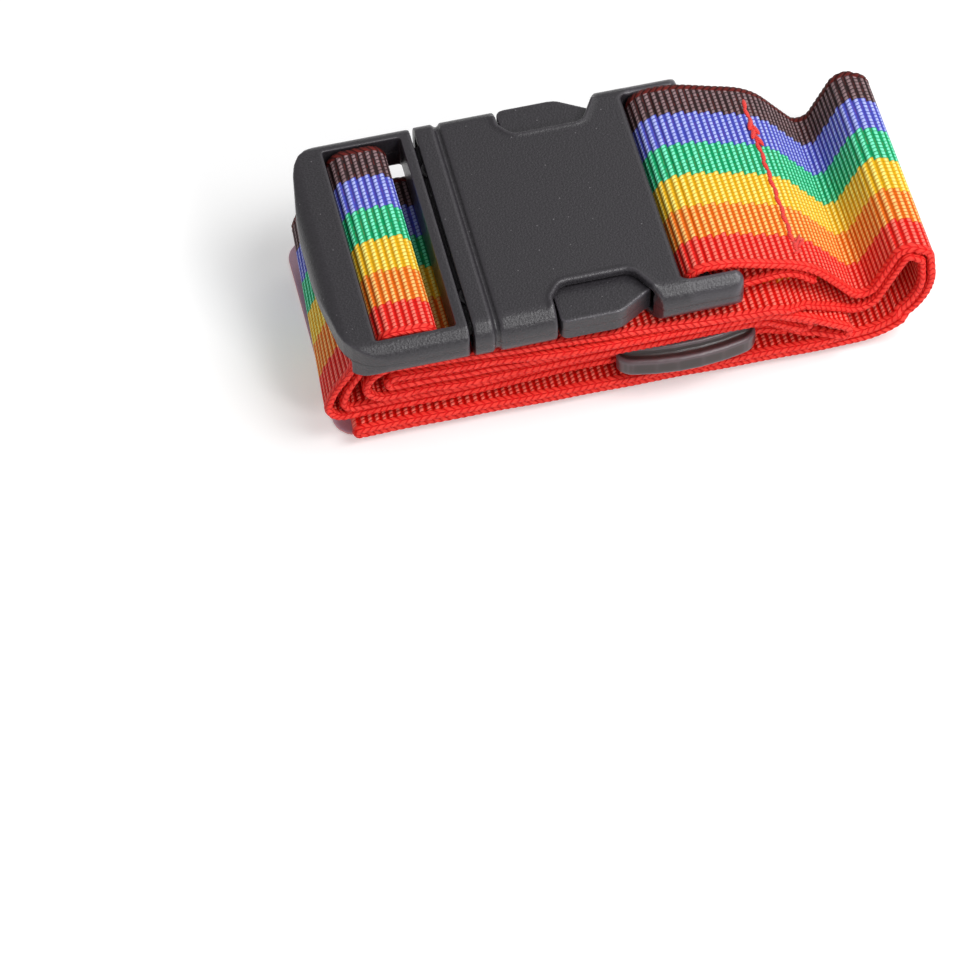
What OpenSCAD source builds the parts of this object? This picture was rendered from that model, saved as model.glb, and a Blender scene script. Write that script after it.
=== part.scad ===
// Luggage strap with a side-release buckle, folded into a flat bundle that lies on its address tag.
// X runs along the buckle from the plug to the socket, the front edge of the bundle faces -Y,
// and Z = 0 is the face of the tag that lies on the table. Millimetres.

/* [Webbing] */
// Width of the webbing
webbing_w = 51; // [46:0.5:51]
// Thickness of the webbing
webbing_t = 1.7; // [1.2:0.05:1.75]

/* [Buckle] */
// Width of the buckle over its sides
buckle_w = 59; // [58:0.5:62]
// Thickness of the socket
socket_h = 10; // [9.6:0.1:10]
// Thickness of the plug's frame
plug_h = 9; // [8.6:0.1:9]
// Radius of the long rounded edges of the socket
edge_r = 4; // [2:0.25:4.25]
// Thickness of the socket's top and bottom walls
wall = 1.8; // [1.5:0.1:2]
// Radius of the bars that the webbing loops round
bar_r = 2.2; // [1.8:0.1:2.3]

/* [Latch] */
// Thickness of the latch heads
head_h = 5.8; // [5:0.1:5.9]
// Thickness of the latch arms across the plug
arm_w = 2.8; // [2.2:0.1:3]

/* [Slider] */
// Width of the strap slider over its end caps
slider_w = 62; // [59:0.5:62]
// Length of the strap slider along the webbing
slider_len = 30.8; // [30:0.1:31.5]
// Thickness of the slider's bar and rails
slider_t = 2.2; // [1.8:0.1:2.2]

/* [Tag] */
// Length of the address tag
tag_len = 78; // [74:1:80]
// Width of the address tag
tag_w = 54; // [52:1:56]
// Thickness of the tag's panel
panel_t = 0.8; // [0.7:0.05:0.8]
// Length of the tag's window
window_len = 50; // [44:1:52]
// Width of the tag's window
window_w = 28; // [24:1:30]
// Length of one stitch
stitch_len = 2.4; // [2:0.1:2.6]

/* [Hidden] */

$fn = 48;
// Largest step of a round bend, in degrees
bend_step = 18;
// How far a cut reaches past the face that it opens, and joined pieces into each other
past = 1;
join = 0.5;

// Buckle: height of its middle plane and where its pieces start along X
buckle_z = 28.3;
socket_front = -35;
groove_left = -30.9;
groove_right = -29.5;
groove_deep = 0.8;
collar_end = -17.5;
rear_wall = 5;
socket_rear = 9.5;
tab_end = 22.5;
tab_w = 3.7;
tab_corner = 2.2;
tab_inner = 1.2;
tab_fillet = 1.2;
tab_roll = 2;
socket_bar_x = 14.4;
cavity_half = 26.5;
side = buckle_w / 2;
far_out = 40;

// Plug: frame, the neck inside the socket's mouth, then the tongue that guides it
plug_left = -64.3;
window_left = -55.2;
window_right = -38.3;
rail_right = -36;
neck_right = -30.9;
neck_half = 24.5;
tongue_end = -4.5;
tongue_half = 6;
tongue_h = 4.4;
plug_bar_left = -50.9;
plug_bar_right = -47.1;
plug_bar_z = 0.5;
plug_window_half = 26;
plug_edge_r = 3.5;
rail_recess = -0.5;

// Latch: pivot at the root of each arm
pivot_x = -33.7;
pivot_y = 17.5;
pivot_r = 2.2;
pivot_play = 0.05;
arm_h = 5.2;
swing_in = 1.2;
swing_out = 0.3;
pocket_len = 5;

// Slider: the strands run straight over its low bar and under its two rails
slider_x = -4.8;
slider_low = 5.9;
slider_top = 14.7;
cap_low = 8.4;
cap_top = 12.9;
cap_step = 2.4;
cap_inner = 26.3;
slider_rail = 6;
slider_bar = 6.5;
slider_corner = 4;
slider_bow = 2;
slider_flat = 5;
bow_r = 24;
bar_flare = 0.3;
lug_in = 1.5;
lug_h = 2.6;

// Tag: sewn on three sides, open towards +X
tag_x = -25.2;
tag_y = 2.5;
film_t = 0.25;
card_t = 0.3;
card_low = 1.15;
card_len = 62;
card_w = 38;
seam_inset = 6.5;
stitch_gap = 0.6;
stitch_w = 0.6;
stitch_h = 0.4;
groove_w = 1;
groove_h = 0.45;
tag_corner = 5;
window_corner = 4;
film_lap = 4;
small_corner = 2;
seam_left = tag_x - tag_len / 2 + seam_inset;
seam_right = tag_x + tag_len / 2 - seam_inset / 2;
seam_y = tag_w / 2 - seam_inset;

// Seam that closes the loop on the socket, through two layers
seam_x = 35.2;
seam_half = 21;
seam_pitch = 2.5;
seam_gap = 0.4;
thread_r = 0.3;
thread_clear = 0.02;
layer_step = 2.64;

buckle_plastic = "#3b3d41";
slider_plastic = "#2b2523";
thread = "#d8241f";
tag_thread = "#b0201d";
vinyl = "#e5302c";
film = "#e8eef2";
card_stock = "#f7f6f2";
web = "#d93a2b";

// Routes of the folded webbing, at mid-thickness: [x, z, bend radius, shift towards +Y].
// Each stretch starts where the one before it ends, from the sewn end to the free tail.
seam_end = [38.6, 22.4, 0, 0];
top_start = [15.4, 33.6, 0, 0];
slope_top = [20, 33.6, 25, 0];
slope_bend = [37.5, 27.6, 6, 0];
valley = [50.1, 11.6, 3.2, 0];
bottom_right = [39.5, 2.65, 0, -2.5];
bottom_left = [-42.5, 2.65, 0, -1.5];
second_left = [-42.5, 4.75, 0, -2];
second_right = [39.5, 4.75, 0, -3];
under_right = [23.5, 22.15, 0, -5.5];
under_left = [-42.5, 22.15, 0, -1.5];
middle_left = [-42.5, 13, 0, -1];
middle_right = [31.5, 13.2, 0, -3];
third_right = [31.5, 16.15, 0, -3];
third_left = [-42.5, 16, 0, -1];
fourth_left = [-42.5, 19, 0, -1.5];
fourth_right = [33.5, 17.4, 0, -4.5];
adjuster_right = [31.5, 10.1, 0, -1];
adjuster_left = [-44.5, 10.1, 0, 0];
tail_left = [-44.5, 8, 0, 0];

route_socket_loop = [seam_end, [33.4, 27.1, 7, 0], [11.1, 24.6, 3.4, 0], [11.1, 33.6, 4.2, 0], top_start];
route_top_run = [top_start, slope_top, slope_bend, valley, [57.3, 27.4, 3.4, 0], [63.7, 25.6, 4, -0.5],
  [64.3, 12, 14, -1.5], [53.5, 2.65, 16, -2.5], bottom_right];
route_bottom_run = [bottom_right, bottom_left];
route_bottom_fold = [bottom_left, [-58.5, 2.65, 1, -1.5], [-58.5, 4.75, 1, -2], second_left];
route_second_run = [second_left, second_right];
route_right_inner = [second_right, [52.7, 4.75, 13.9, -2.5], [62.2, 12.95, 11.9, -1.5],
  [61.7, 24.1, 2, -1], [58.4, 25, 1.4, -0.5], [50.4, 7.8, 5.2, -0.5], [36.5, 18.2, 8, -3],
  [29.1, 22.15, 8, -5.5], under_right];
route_under_buckle = [under_right, under_left];
route_left_fold = [under_left, [-56, 22.15, 4.5, -1], [-56, 13, 4.5, -1], middle_left];
route_middle_run = [middle_left, [-34.5, 13, 40, -1.5], [-16.5, 15.85, 40, -3], [27.3, 15.85, 4, -3],
  middle_right];
route_inner_fold = [middle_right, [34.8, 11.118, 2, -3], [37.1, 10.3, 1.4, -3], [37.5, 12.8, 1.2, -3],
  [34.8, 14.5, 3, -3], third_right];
route_third_run = [third_right, [27.9, 17.95, 6, -3], [-12.5, 17.95, 40, -3], [-34.5, 16, 40, -1.5],
  third_left];
route_inner_left_fold = [third_left, [-51.5, 16, 1.4, -1], [-51.5, 19, 1.4, -1.2], fourth_left];
route_fourth_run = [fourth_left, [-32.5, 19, 40, -2], [-12.5, 20.05, 40, -4.5], [28.5, 20.05, 8, -5],
  fourth_right];
route_outer_fold = [fourth_right, [36.5, 15.81, 8, -4.5], [46, 8.8, 1.1, -4], [45.2, 6.6, 1.1, -4],
  [37.5, 7.6, 10, -2], adjuster_right];
route_adjuster_run = [adjuster_right, [28.5, 11.35, 8, 0], [-18.5, 11.35, 60, 0], [-32.5, 10.1, 60, 0],
  adjuster_left];
route_plug_loop = [adjuster_left, [-61.4, 10.1, 2.2, 0], [-57.2, 24.4, 1.2, 0], [-43.5, 24.4, 2.6, 0],
  [-43.5, 32.1, 3.3, 0], [-54.1, 32.1, 3.3, 0], [-54.1, 26.5, 2, 0], [-58.9, 26.5, 2.6, 0],
  [-65.4, 8, 3.6, 0], tail_left];
route_tail = [tail_left, [-32.5, 8, 60, 0], [-18.5, 9.25, 60, 0], [28, 9.25, 8, 0], [33, 7.17, 0, 0]];

// Outlines in plan: [x, y, corner radius]
side_window = [[collar_end, far_out, 0.1], [collar_end, 24, 2], [-15, 20.8, 2.5], [0, 20.8, 3],
  [11, far_out, 0.1]];
socket_half = [[socket_front, -side, 0.3], [tab_end, -side, tab_corner],
  [tab_end, tab_w - side, tab_inner], [socket_rear, tab_w - side, tab_fillet]];
frame_half = [[rail_right, -side, 1], [-61.2, -side, 9], [plug_left, -9, 40]];
arm_inner = pivot_y - arm_w / 2;
arm_outer = pivot_y + arm_w / 2;
head_left = collar_end + 0.6;
latch_plan = [[pivot_x, arm_inner, 0.1], [-16.5, arm_inner, 6], [-2.5, 18.5, 8], [3.5, 21, 1.4],
  [3.5, 25, 1.2], [-4, side, 4], [head_left, side, 1.5], [head_left, arm_outer, 0.6],
  [pivot_x, arm_outer, 0.1]];

function unit(v) = v / norm(v);
function flat(p) = [p.x, p.y];

// Points of a round corner of radius r at p, on the way from a to b
function corner(a, p, b, r) =
  let (
    u = unit(a - p),
    v = unit(b - p),
    half = acos(u * v) / 2,
    centre = p + unit(u + v) * r / sin(half),
    spoke = p + u * r / tan(half) - centre,
    turn = (180 - 2 * half) * sign(cross(v, u)),
    steps = ceil(abs(turn) / bend_step)
  )
  [for (k = [0:steps])
    let (angle = turn * k / steps)
    centre + [
      spoke.x * cos(angle) - spoke.y * sin(angle),
      spoke.x * sin(angle) + spoke.y * cos(angle)
    ]];

// Closed outline with round corners
function outline(points) =
  let (n = len(points))
  [for (i = [0:n - 1])
    let (before = flat(points[(i + n - 1) % n]), after = flat(points[(i + 1) % n]))
    each corner(before, flat(points[i]), after, points[i][2])];

// Half of an outline followed by its mirror image across the X axis
function both_halves(half) =
  concat(half, [for (i = [len(half) - 1:-1:0]) [half[i].x, -half[i].y, half[i][2]]]);

// Route with round bends: [x, z, shift]
function bends(route) =
  let (last = len(route) - 1)
  concat(
    [[route[0].x, route[0].y, route[0][3]]],
    [for (i = [1:1:last - 1])
      let (arc = corner(flat(route[i - 1]), flat(route[i]), flat(route[i + 1]), route[i][2]))
      each [for (p = arc) [p.x, p.y, route[i][3]]]],
    [[route[last].x, route[last].y, route[last][3]]]
  );

// Offset from mid-thickness to the face at point i of a bent route
function to_face(points, i) =
  let (
    last = len(points) - 1,
    before = unit(flat(points[max(i, 1)]) - flat(points[max(i, 1) - 1])),
    after = unit(flat(points[min(i, last - 1) + 1]) - flat(points[min(i, last - 1)])),
    n1 = [before.y, -before.x],
    n2 = [after.y, -after.x]
  )
  (n1 + n2) / (1 + n1 * n2) * webbing_t / 2;

// A stretch of webbing along a route
module webbing(route) {
  points = bends(route);
  count = len(points);
  half = webbing_w / 2;
  rings = [for (i = [0:count - 1])
    let (p = points[i], n = to_face(points, i))
    each [
      [p.x + n.x, p[2] - half, p.y + n.y],
      [p.x + n.x, p[2] + half, p.y + n.y],
      [p.x - n.x, p[2] + half, p.y - n.y],
      [p.x - n.x, p[2] - half, p.y - n.y]
    ]];
  walls = [for (i = [0:count - 2], k = [0:3])
    let (a = 4 * i + k, b = 4 * i + (k + 1) % 4)
    each [[a, a + 4, b], [b, a + 4, b + 4]]];
  end = 4 * (count - 1);
  ends = [[0, 1, 2], [0, 2, 3], [end, end + 2, end + 1], [end, end + 3, end + 2]];
  polyhedron(rings, concat(walls, ends));
}

// Rectangle with round corners, centred
module rounded_section(w, h, r) {
  square([w, h - 2 * r], center = true);
  square([w - 2 * r, h], center = true);
  for (x = [-1, 1], y = [-1, 1]) {
    translate([x * (w / 2 - r), y * (h / 2 - r)]) circle(r);
  }
}

// A rounded section drawn out along X from x0 to x1
module along_x(x0, x1, w, h, r) {
  translate([x0, 0, 0]) rotate([90, 0, 90]) linear_extrude(x1 - x0) rounded_section(w, h, r);
}

// A box centred on the X axis from x0 to x1
module block(x0, x1, w, h) {
  translate([x0, -w / 2, -h / 2]) cube([x1 - x0, w, h]);
}

// A plate of an outline, centred on its own middle plane
module plate(points, h) {
  translate([0, 0, -h / 2]) linear_extrude(h) polygon(outline(points));
}

// A round bar across the buckle
module cross_bar(x, z, half) {
  translate([x, half, z]) rotate([90, 0, 0]) cylinder(r = bar_r, h = 2 * half);
}

// Shallow groove round the socket behind its mouth
module mouth_groove() {
  difference() {
    block(groove_left, groove_right, buckle_w + past, socket_h + past);
    along_x(groove_left - past, groove_right + past, buckle_w - 2 * groove_deep,
      socket_h - 2 * groove_deep, edge_r - groove_deep);
  }
}

module socket() {
  socket_len = 2 * (tab_end - socket_front);
  color(buckle_plastic) translate([0, 0, buckle_z]) {
    difference() {
      intersection() {
        along_x(socket_front, tab_end, buckle_w, socket_h, edge_r);
        plate(both_halves(socket_half), socket_h);
        translate([tab_end - socket_len / 2, side, 0]) rotate([90, 0, 0])
          linear_extrude(buckle_w) rounded_section(socket_len, socket_h, tab_roll);
      }
      mouth_groove();
      block(socket_front - past, rear_wall, 2 * cavity_half, socket_h - 2 * wall);
      plate(side_window, socket_h + past);
      mirror([0, 1, 0]) plate(side_window, socket_h + past);
    }
    cross_bar(socket_bar_x, 0, side - tab_w / 2);
  }
}

// Room in the plug's neck for the root of one latch arm
module latch_pocket() {
  translate([pivot_x, pivot_y, 0]) {
    pocket_h = tongue_h + past;
    cylinder(r = pivot_r + pivot_play, h = pocket_h, center = true);
    translate([0, -arm_w / 2 - swing_in, -pocket_h / 2])
      cube([pocket_len, arm_w + swing_in + swing_out, pocket_h]);
  }
}

module plug_frame() {
  frame_len = 2 * (rail_right - plug_left);
  color(buckle_plastic) translate([0, 0, buckle_z]) {
    difference() {
      intersection() {
        along_x(plug_left - past, rail_right, buckle_w, plug_h, plug_edge_r);
        plate(both_halves(frame_half), plug_h);
        translate([plug_left + frame_len / 2, side, 0]) rotate([90, 0, 0])
          linear_extrude(buckle_w) rounded_section(frame_len, plug_h, edge_r);
      }
      block(window_left, window_right, 2 * plug_window_half, plug_h + past);
      translate([plug_left - past, -plug_window_half, -plug_h])
        cube([window_left - plug_left + 2 * past, 2 * plug_window_half, plug_h + rail_recess]);
    }
    difference() {
      union() {
        block(rail_right - join, neck_right, 2 * neck_half, tongue_h);
        block(neck_right - join, tongue_end, 2 * tongue_half, tongue_h);
      }
      latch_pocket();
      mirror([0, 1, 0]) latch_pocket();
    }
    for (x = [plug_bar_left, plug_bar_right]) {
      cross_bar(x, plug_bar_z, plug_window_half + past);
    }
    translate([plug_bar_left, -plug_window_half - past, plug_bar_z - bar_r])
      cube([plug_bar_right - plug_bar_left, 2 * (plug_window_half + past), 2 * bar_r]);
  }
}

// Latch arm and head on the +Y side
module latch() {
  color(buckle_plastic) translate([0, 0, buckle_z]) {
    intersection() {
      plate(latch_plan, head_h);
      union() {
        block(head_left - join, rear_wall, buckle_w + past, head_h);
        block(pivot_x - past, head_left, buckle_w, arm_h);
      }
    }
    translate([pivot_x, pivot_y, 0]) cylinder(r = pivot_r, h = arm_h, center = true);
  }
}

module rear_latch() {
  latch();
}

module front_latch() {
  mirror([0, 1, 0]) latch();
}

module slider() {
  half = slider_w / 2;
  cap_h = slider_top - cap_low;
  rim_h = cap_top - cap_low;
  right = slider_x + slider_len;
  middle = slider_x + slider_len / 2;
  plan_half = [[slider_x, slider_bow - half, slider_corner], [middle - slider_flat, -half, bow_r],
    [middle + slider_flat, -half, bow_r], [right, slider_bow - half, slider_corner]];
  raised_half = [for (p = plan_half) [p.x, p.y + cap_step, p[2]]];
  lug_out = half - lug_in;
  lug_top = cap_low + lug_h;
  bar_out = cap_inner + bar_flare;
  bar_top = slider_low + slider_t;
  bar_yz = [[lug_out, lug_top], [lug_out, cap_low], [bar_out, slider_low],
    [-bar_out, slider_low], [-lug_out, cap_low], [-lug_out, lug_top],
    [-cap_inner, lug_top], [-cap_inner, bar_top],
    [cap_inner, bar_top], [cap_inner, lug_top]];
  color(slider_plastic) {
    difference() {
      union() {
        translate([0, 0, cap_low + rim_h / 2]) plate(both_halves(plan_half), rim_h);
        translate([0, 0, cap_low + cap_h / 2]) plate(both_halves(raised_half), cap_h);
      }
      translate([slider_x - past, -cap_inner, cap_low - past])
        cube([slider_len + 2 * past, 2 * cap_inner, cap_h - slider_t + past]);
      translate([slider_x + slider_rail, -cap_inner, cap_low])
        cube([slider_len - 2 * slider_rail, 2 * cap_inner, cap_h + past]);
    }
    translate([middle - slider_bar / 2, 0, 0]) rotate([90, 0, 90])
      linear_extrude(slider_bar) polygon(bar_yz);
  }
}

// Rectangle with one corner radius, centred, as a closed list of corners
function card_plan(l, w, r) = [[-l / 2, -w / 2, r], [l / 2, -w / 2, r], [l / 2, w / 2, r],
  [-l / 2, w / 2, r]];

module tag_panel() {
  color(vinyl) difference() {
    translate([tag_x, tag_y, panel_t / 2]) plate(card_plan(tag_len, tag_w, tag_corner), panel_t);
    translate([tag_x, tag_y, panel_t / 2])
      plate(card_plan(window_len, window_w, window_corner), panel_t + past);
    for (y = [tag_y - seam_y, tag_y + seam_y]) {
      translate([seam_left - groove_w / 2, y - groove_w / 2, -past])
        cube([seam_right - seam_left + groove_w, groove_w, groove_h + past]);
    }
    translate([seam_left - groove_w / 2, tag_y - seam_y, -past])
      cube([groove_w, 2 * seam_y, groove_h + past]);
  }
}

module tag_film() {
  color(film, 0.4) translate([tag_x, tag_y, panel_t + film_t / 2])
    plate(card_plan(window_len + 2 * film_lap, window_w + 2 * film_lap, small_corner), film_t);
}

module address_card() {
  color(card_stock) translate([tag_x, tag_y, card_low + card_t / 2])
    plate(card_plan(card_len, card_w, small_corner), card_t);
}

// One stitch, lying along X in the groove
module stitch() {
  translate([-stitch_len / 2, -stitch_w / 2, 0]) cube([stitch_len, stitch_w, stitch_h]);
}

module tag_seam() {
  step = stitch_len + stitch_gap;
  color(tag_thread) {
    for (x = [seam_left + step:step:seam_right], y = [tag_y - seam_y, tag_y + seam_y]) {
      translate([x, y, 0]) stitch();
    }
    for (y = [-seam_y + step:step:seam_y - step / 2]) {
      translate([seam_left, tag_y + y, 0]) rotate([0, 0, 90]) stitch();
    }
  }
}

// Stitches through both layers behind the socket, on the top and on the underside
module socket_seam() {
  way = unit(flat(slope_bend) - flat(slope_top));
  up = [-way.y, way.x];
  start = flat(slope_top) + way * (seam_x - slope_top.x) / way.x;
  top = webbing_t / 2 + thread_r + thread_clear;
  under = top + layer_step;
  color(thread) for (lift = [top, -under], y = [-seam_half:seam_pitch:seam_half]) {
    translate([start.x + up.x * lift, y, start.y + up.y * lift]) rotate([-90, 0, 0])
      cylinder(r = thread_r, h = seam_pitch - seam_gap, $fn = 16);
  }
}

module strap_socket_loop() {
  color(web) webbing(route_socket_loop);
}

module strap_top_run() {
  color(web) webbing(route_top_run);
}

module strap_bottom_run() {
  color(web) webbing(route_bottom_run);
}

module strap_bottom_fold() {
  color(web) webbing(route_bottom_fold);
}

module strap_second_run() {
  color(web) webbing(route_second_run);
}

module strap_right_inner() {
  color(web) webbing(route_right_inner);
}

module strap_under_buckle() {
  color(web) webbing(route_under_buckle);
}

module strap_left_fold() {
  color(web) webbing(route_left_fold);
}

module strap_middle_run() {
  color(web) webbing(route_middle_run);
}

module strap_inner_fold() {
  color(web) webbing(route_inner_fold);
}

module strap_third_run() {
  color(web) webbing(route_third_run);
}

module strap_inner_left_fold() {
  color(web) webbing(route_inner_left_fold);
}

module strap_fourth_run() {
  color(web) webbing(route_fourth_run);
}

module strap_outer_fold() {
  color(web) webbing(route_outer_fold);
}

module strap_adjuster_run() {
  color(web) webbing(route_adjuster_run);
}

module strap_plug_loop() {
  color(web) webbing(route_plug_loop);
}

module strap_tail() {
  color(web) webbing(route_tail);
}

socket();
plug_frame();
front_latch();
rear_latch();
slider();
tag_panel();
tag_film();
address_card();
tag_seam();
socket_seam();
strap_socket_loop();
strap_top_run();
strap_bottom_run();
strap_bottom_fold();
strap_second_run();
strap_right_inner();
strap_under_buckle();
strap_left_fold();
strap_middle_run();
strap_inner_fold();
strap_third_run();
strap_inner_left_fold();
strap_fourth_run();
strap_outer_fold();
strap_adjuster_run();
strap_plug_loop();
strap_tail();
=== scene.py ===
# %% [markdown]
# # A folded luggage strap
# The object is about a metre of striped webbing, folded into a flat bundle, with a side-release
# buckle on top, a strap slider in the bundle and an address tag under it. The CAD model gives every
# size and place, so this lesson starts by loading it, and builds the looks of each piece on it.

# %% Load the frame
import math

import bmesh
import bpy
import numpy as np
from mathutils import Matrix, Vector


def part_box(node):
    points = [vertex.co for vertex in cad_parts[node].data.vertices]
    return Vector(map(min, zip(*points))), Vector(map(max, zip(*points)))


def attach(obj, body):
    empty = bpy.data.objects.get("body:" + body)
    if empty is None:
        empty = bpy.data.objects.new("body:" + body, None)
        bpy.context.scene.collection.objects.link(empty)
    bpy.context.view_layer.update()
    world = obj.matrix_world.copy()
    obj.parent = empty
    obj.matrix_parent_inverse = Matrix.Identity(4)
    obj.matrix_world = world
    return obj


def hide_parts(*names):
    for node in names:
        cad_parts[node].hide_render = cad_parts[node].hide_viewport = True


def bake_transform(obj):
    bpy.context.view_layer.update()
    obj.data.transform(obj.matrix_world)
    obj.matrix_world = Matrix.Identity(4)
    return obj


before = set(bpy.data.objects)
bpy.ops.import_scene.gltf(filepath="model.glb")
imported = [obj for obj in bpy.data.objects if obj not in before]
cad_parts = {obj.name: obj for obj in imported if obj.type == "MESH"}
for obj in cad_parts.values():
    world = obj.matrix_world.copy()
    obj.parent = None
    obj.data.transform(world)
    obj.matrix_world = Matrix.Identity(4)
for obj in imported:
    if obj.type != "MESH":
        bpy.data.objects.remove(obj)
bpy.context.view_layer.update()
MM = 0.001
print("nodes in the frame:", len(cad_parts))

# %% [markdown]
# ## The camera
# The photograph was taken from above the front left, with a long lens, and its middle looks at a
# point in front of the strap. A camera can be aimed with a constraint, but a matrix made of its own
# three directions also holds the slight roll of a hand-held picture.

# %% Camera at the photograph's angle
azimuth, elevation, roll = (math.radians(a) for a in (-12.15, 53.85, -1.51))
camera_distance = 907 * MM
focal_px = 4548
IMAGE_PX = 960
SENSOR = 36
looked_at = Vector((-42.69, -65.79, 33.3)) * MM
back = Vector((
    math.sin(azimuth) * math.cos(elevation),
    -math.cos(azimuth) * math.cos(elevation),
    math.sin(elevation),
))
level = Vector((math.cos(azimuth), math.sin(azimuth), 0))
upright = back.cross(level)
right = level * math.cos(roll) + upright * math.sin(roll)
up = upright * math.cos(roll) - level * math.sin(roll)
camera = bpy.data.objects.new("camera", bpy.data.cameras.new("camera"))
bpy.context.scene.collection.objects.link(camera)
camera.data.sensor_width = SENSOR
camera.data.lens = SENSOR * focal_px / IMAGE_PX
axes = Matrix((right, up, back)).transposed().to_4x4()
camera.matrix_world = Matrix.Translation(looked_at + back * camera_distance) @ axes
bpy.context.scene.camera = camera
print("lens:", round(camera.data.lens, 1), "mm")

# %% [markdown]
# ## Colours and shader nodes
# Paint codes are sRGB, while a shader works in linear light, so one function converts them. A second
# small function adds a node with its settings and links, which keeps each material short enough to
# read as a recipe.

# %% Colour and node helpers
def linear(code):
    """A linear RGBA colour from an sRGB hex code."""
    parts = [int(code[i:i + 2], 16) / 255 for i in (1, 3, 5)]
    return [c / 12.92 if c <= 0.04045 else ((c + 0.055) / 1.055) ** 2.4 for c in parts] + [1]


def add(tree, kind, inputs=None, **settings):
    """Adds one node; an input is a value, an output socket, or a node for its first output."""
    made = tree.nodes.new(kind)
    for name, value in settings.items():
        setattr(made, name, value)
    for name, value in (inputs or {}).items():
        if isinstance(value, bpy.types.Node):
            value = value.outputs[0]
        if isinstance(value, bpy.types.NodeSocket):
            tree.links.new(value, made.inputs[name])
        else:
            made.inputs[name].default_value = value
    return made


def new_material(name):
    """An empty material with its shader and output; returns the material, its tree and shader."""
    material = bpy.data.materials.new(name)
    material.use_nodes = True
    tree = material.node_tree
    tree.nodes.clear()
    shader = add(tree, "ShaderNodeBsdfPrincipled")
    add(tree, "ShaderNodeOutputMaterial", {"Surface": shader.outputs["BSDF"]})
    return material, tree, shader


bpy.context.scene.view_settings.view_transform = "Standard"
print("linear red:", [round(c, 3) for c in linear("#e32a20")[:3]])

# %% [markdown]
# ## Floor and light
# The strap lies on a white sheet in a bright, soft studio. A large plane is the sheet. The world
# gives the even light of white walls. A large lamp high on the right does most of the work, and
# leaves the left end and the plug's window in shade. A small one low in front draws a highlight
# along the rounded edges, and a weak one behind gives the buckle's top a soft sheen. Together they
# light a level surface so that it shows about its own colour. The sheet glows a little for the
# camera and in reflections, so that it stays white without more light on the strap.

# %% Floor
FLOOR_REACH = 3
FLOOR_GLOW = 0.28
bm = bmesh.new()
bmesh.ops.create_grid(bm, x_segments=1, y_segments=1, size=FLOOR_REACH)
floor_mesh = bpy.data.meshes.new("floor")
bm.to_mesh(floor_mesh)
bm.free()
floor = bpy.data.objects.new("floor", floor_mesh)
bpy.context.scene.collection.objects.link(floor)
paper, tree, shader = new_material("white paper sweep")
shader.inputs["Base Color"].default_value = linear("#e8e8e8")
shader.inputs["Roughness"].default_value = 0.9
shader.inputs["Emission Color"].default_value = linear("#ffffff")
path = add(tree, "ShaderNodeLightPath")
mirrored = add(tree, "ShaderNodeMath", {
    0: path.outputs["Is Glossy Ray"], 1: path.outputs["Is Transmission Ray"],
}, operation="MAXIMUM")
seen = add(tree, "ShaderNodeMath", {
    0: path.outputs["Is Camera Ray"], 1: mirrored,
}, operation="MAXIMUM")
glow = add(tree, "ShaderNodeMath", {0: seen, 1: FLOOR_GLOW}, operation="MULTIPLY")
tree.links.new(glow.outputs[0], shader.inputs["Emission Strength"])
floor_mesh.materials.append(paper)
print("floor of", paper.name)

# %% World and lamps
WALL_LIGHT = 0.4
world = bpy.data.worlds.new("studio")
bpy.context.scene.world = world
world.use_nodes = True
walls = world.node_tree.nodes["Background"]
walls.inputs["Color"].default_value = linear("#ffffff")
walls.inputs["Strength"].default_value = WALL_LIGHT

for name, place, size, watts in (  # place and size in metres
    ("lamp_right", (0.44, -0.26, 0.90), 0.6, 7),
    ("lamp_front", (0.28, -0.72, 0.54), 0.2, 2.6),
    ("lamp_behind", (0.46, 0.55, 0.80), 0.5, 1),
):
    lamp = bpy.data.lights.new(name, "AREA")
    lamp.size = size
    lamp.energy = watts
    lamp_object = bpy.data.objects.new(name, lamp)
    bpy.context.scene.collection.objects.link(lamp_object)
    lamp_object.location = place
    lamp_object.rotation_euler = (-Vector(place)).to_track_quat("-Z", "Y").to_euler()

# %% [markdown]
# ## The route of the webbing
# The strap is one piece of webbing, sewn round the socket's bar at one end, folded back and forth
# through the bundle, through the slider and round the plug's bar, to a free tail. Its route is a
# list of corners with a bend radius, as in the CAD source: x, z, radius and shift along Y, in
# millimetres. The loop on the plug is a little fuller here, and the slope behind the socket bends
# more softly. A curve object could follow the route, but a computed path gives the exact length
# along the strap, which the weave needs.

# %% Stretches of the route
seam_end = (38.6, 22.4, 0, 0)
top_start = (15.4, 33.6, 0, 0)
slope_top = (20, 33.6, 25, 0)
slope_bend = (37.5, 27.6, 18, 0)
valley = (50.1, 11.6, 3.2, 0)
bottom_right = (39.5, 2.65, 0, -2.5)
bottom_left = (-42.5, 2.65, 0, -1.5)
second_left = (-42.5, 4.75, 0, -2)
second_right = (39.5, 4.75, 0, -3)
under_right = (23.5, 22.15, 0, -5.5)
under_left = (-42.5, 22.15, 0, -1.5)
middle_left = (-42.5, 13, 0, -1)
middle_right = (31.5, 13.2, 0, -3)
third_right = (31.5, 16.15, 0, -3)
third_left = (-42.5, 16, 0, -1)
fourth_left = (-42.5, 19, 0, -1.5)
fourth_right = (33.5, 17.4, 0, -4.5)
adjuster_right = (31.5, 10.1, 0, -1)
adjuster_left = (-44.5, 10.1, 0, 0)
tail_left = (-44.5, 8, 0, 0)
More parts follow.
